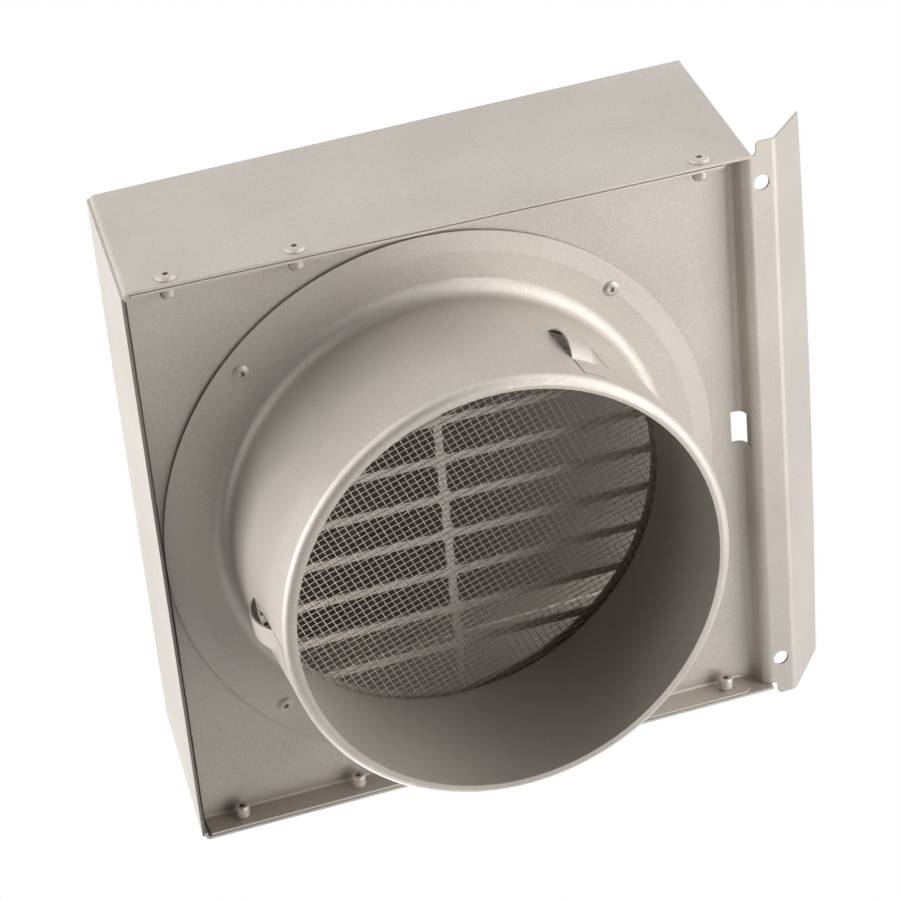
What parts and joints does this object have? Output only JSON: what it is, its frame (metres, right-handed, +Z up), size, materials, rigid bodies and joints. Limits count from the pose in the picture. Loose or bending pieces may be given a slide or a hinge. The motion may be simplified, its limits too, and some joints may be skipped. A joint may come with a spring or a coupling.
{
  "type": "dryer vent cap",
  "caption": "Square sheet-metal wall hood with an open underside, a slotted back plate with insect screen, a drip lip and a round duct collar with lanced spring tabs.",
  "frame": {"origin": "where the axis of the duct collar meets the plane of the wall that the cheeks' rear edges lie on", "axes": "+Y along the collar axis into the wall, -Y outdoors, +Z up as installed, +X to the right as seen from outdoors"},
  "size_m": [0.1396, 0.0979, 0.1564],
  "materials": {
    "painted_sheet": "satin metallic paint",
    "screen_wire": "satin metallic paint",
    "painted_rivets": "satin metallic paint",
    "mandrel_steel": "dull broken steel"
  },
  "bodies": {
    "root": {"front_cover": "painted_sheet", "left_cheek": "painted_sheet", "right_cheek": "painted_sheet", "back_plate": "painted_sheet", "collar": "painted_sheet", "insect_screen": "screen_wire", "collar_rivets": "painted_rivets", "left_rivets": "painted_rivets", "right_rivets": "painted_rivets", "left_mandrels": "mandrel_steel", "right_mandrels": "mandrel_steel"}
  },
  "joints": []
}
